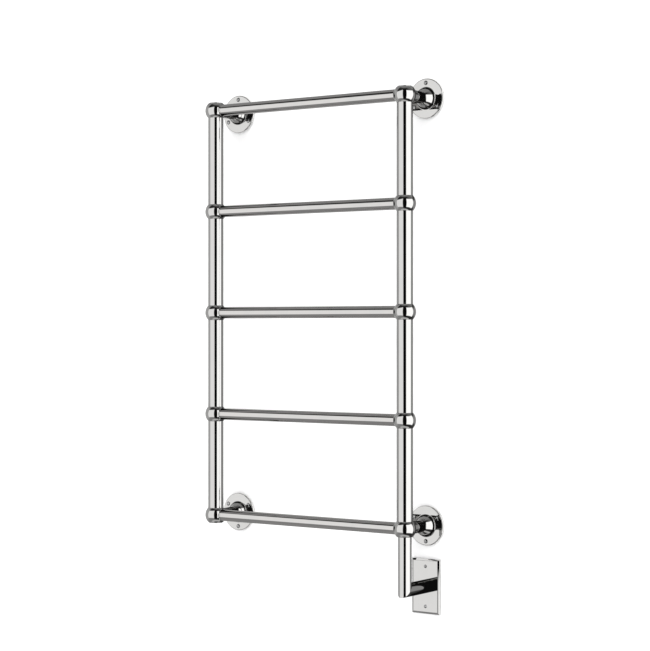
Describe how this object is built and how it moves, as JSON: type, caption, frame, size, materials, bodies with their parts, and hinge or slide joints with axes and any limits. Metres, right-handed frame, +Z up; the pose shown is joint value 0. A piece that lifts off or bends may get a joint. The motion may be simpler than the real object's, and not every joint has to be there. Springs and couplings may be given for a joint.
{
  "type": "towel warmer rack",
  "caption": "Wall-mounted electric towel warmer: a ladder of chromed rails between two ball-jointed posts, on round wall brackets, with a wiring conduit and cover plate.",
  "frame": {"origin": "on the wall's face, midway between the posts, at the height of the middle rail", "axes": "+X from the left post to the right post, +Y into the wall, +Z up; the rack stands in front of the wall, towards -Y"},
  "size_m": [0.579, 0.146, 1.1131],
  "materials": {
    "post_chrome": "polished chrome plate on a round brass tube",
    "rail_chrome": "polished chrome plate on a round brass tube",
    "fitting_chrome": "polished chrome plate on turned brass",
    "bracket_chrome": "polished chrome plate on turned brass",
    "conduit_chrome": "polished chrome plate on a mitred brass tube",
    "plate_chrome": "polished chrome plate on pressed brass",
    "screw_chrome": "chromed screws with slotted raised heads",
    "brass": "plain turned brass",
    "element_steel": "stainless sheath, drawn",
    "seal_rubber": "black nitrile rubber",
    "gasket_foam": "closed-cell foam",
    "grommet_rubber": "moulded rubber",
    "washer_fibre": "red vulcanised fibre",
    "cutout_ceramic": "glazed ceramic sleeve",
    "lead_brown": "brown silicone insulation",
    "lead_blue": "blue silicone insulation",
    "lead_green_yellow": "green and yellow silicone insulation"
  },
  "bodies": {
    "root": {"left_post_tube_1": "post_chrome", "left_post_tube_2": "post_chrome", "left_post_tube_3": "post_chrome", "left_post_tube_4": "post_chrome", "right_post_tube_1": "post_chrome", "right_post_tube_2": "post_chrome", "right_post_tube_3": "post_chrome", "right_post_tube_4": "post_chrome", "rail_1": "rail_chrome", "rail_2": "rail_chrome", "rail_3": "rail_chrome", "rail_4": "rail_chrome", "rail_5": "rail_chrome", "left_ball_1": "fitting_chrome", "left_ball_2": "fitting_chrome", "left_ball_3": "fitting_chrome", "left_ball_4": "fitting_chrome", "left_ball_5": "fitting_chrome", "right_ball_1": "fitting_chrome", "right_ball_2": "fitting_chrome", "right_ball_3": "fitting_chrome", "right_ball_4": "fitting_chrome", "right_ball_5": "fitting_chrome", "top_left_cap": "fitting_chrome", "top_right_cap": "fitting_chrome", "bottom_left_cap": "fitting_chrome", "left_post_connectors": "brass", "right_post_connectors": "brass", "left_ball_seals": "seal_rubber", "right_ball_seals": "seal_rubber", "rail_seals": "seal_rubber", "top_left_arm": "bracket_chrome", "top_left_wall_flange": "bracket_chrome", "top_left_wall_screws": "screw_chrome", "top_right_arm": "bracket_chrome", "top_right_wall_flange": "bracket_chrome", "top_right_wall_screws": "screw_chrome", "bottom_left_arm": "bracket_chrome", "bottom_left_wall_flange": "bracket_chrome", "bottom_left_wall_screws": "screw_chrome", "bottom_right_arm": "bracket_chrome", "bottom_right_wall_flange": "bracket_chrome", "bottom_right_wall_screws": "screw_chrome", "conduit": "conduit_chrome", "cover_plate": "plate_chrome", "cover_plate_screws": "screw_chrome", "cover_plate_gasket": "gasket_foam", "element_head": "brass", "element_washer": "washer_fibre", "heating_element": "element_steel", "thermal_cutout": "cutout_ceramic", "live_lead": "lead_brown", "neutral_lead": "lead_blue", "earth_lead": "lead_green_yellow", "wall_grommet": "grommet_rubber"}
  },
  "joints": []
}
